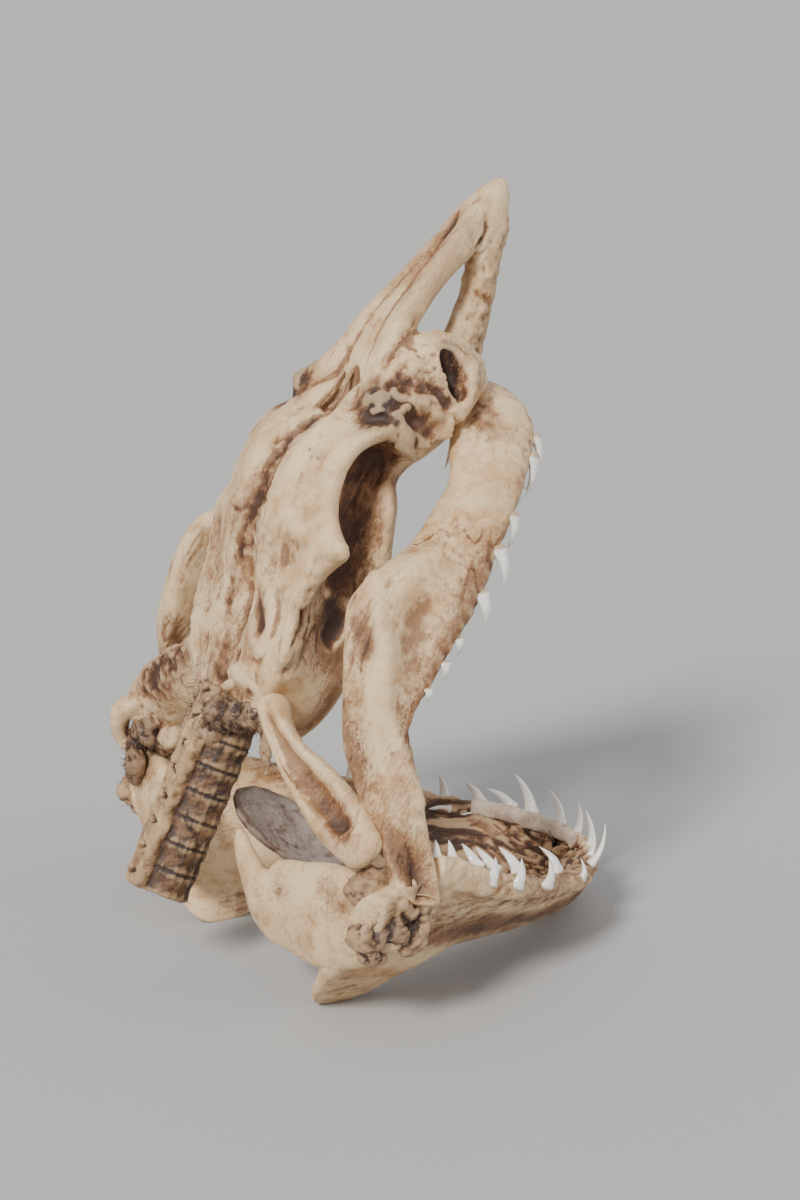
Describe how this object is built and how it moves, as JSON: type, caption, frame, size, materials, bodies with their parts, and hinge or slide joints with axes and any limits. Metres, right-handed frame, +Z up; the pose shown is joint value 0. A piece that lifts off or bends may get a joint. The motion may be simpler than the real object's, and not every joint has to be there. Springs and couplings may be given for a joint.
{
  "type": "shark skull",
  "caption": "Mako shark skull with wide open jaws, slender pointed teeth, three-barred snout, hyoid arch and a short run of vertebrae, lying on its lower jaw.",
  "frame": {"origin": "on the floor, under the middle of the whole skull's outline seen from above", "axes": "+X from the backbone towards the chin, +Y towards the animal's left, +Z up"},
  "size_m": [0.273, 0.28, 0.3902],
  "materials": {
    "chondrocranium": "dried cartilage, satin",
    "vertebral_column": "dried cartilage and tissue, rough",
    "basihyal": "dried cartilage plate, dull",
    "palatoquadrate_left": "dried cartilage, satin",
    "meckels_cartilage_left": "dried cartilage, satin",
    "hyomandibula_left": "dried cartilage, satin",
    "ceratohyal_left": "dried cartilage, satin",
    "hinge_ligament_left": "dried ligament, rough",
    "palatoquadrate_right": "dried cartilage, satin",
    "meckels_cartilage_right": "dried cartilage, satin",
    "hyomandibula_right": "dried cartilage, satin",
    "ceratohyal_right": "dried cartilage, satin",
    "hinge_ligament_right": "dried ligament, rough"
  },
  "bodies": {
    "root": {"chondrocranium": "chondrocranium", "vertebral_column": "vertebral_column", "basihyal": "basihyal", "palatoquadrate_left": "palatoquadrate_left", "meckels_cartilage_left": "meckels_cartilage_left", "hyomandibula_left": "hyomandibula_left", "ceratohyal_left": "ceratohyal_left", "hinge_ligament_left": "hinge_ligament_left", "palatoquadrate_right": "palatoquadrate_right", "meckels_cartilage_right": "meckels_cartilage_right", "hyomandibula_right": "hyomandibula_right", "ceratohyal_right": "ceratohyal_right", "hinge_ligament_right": "hinge_ligament_right"}
  },
  "joints": []
}
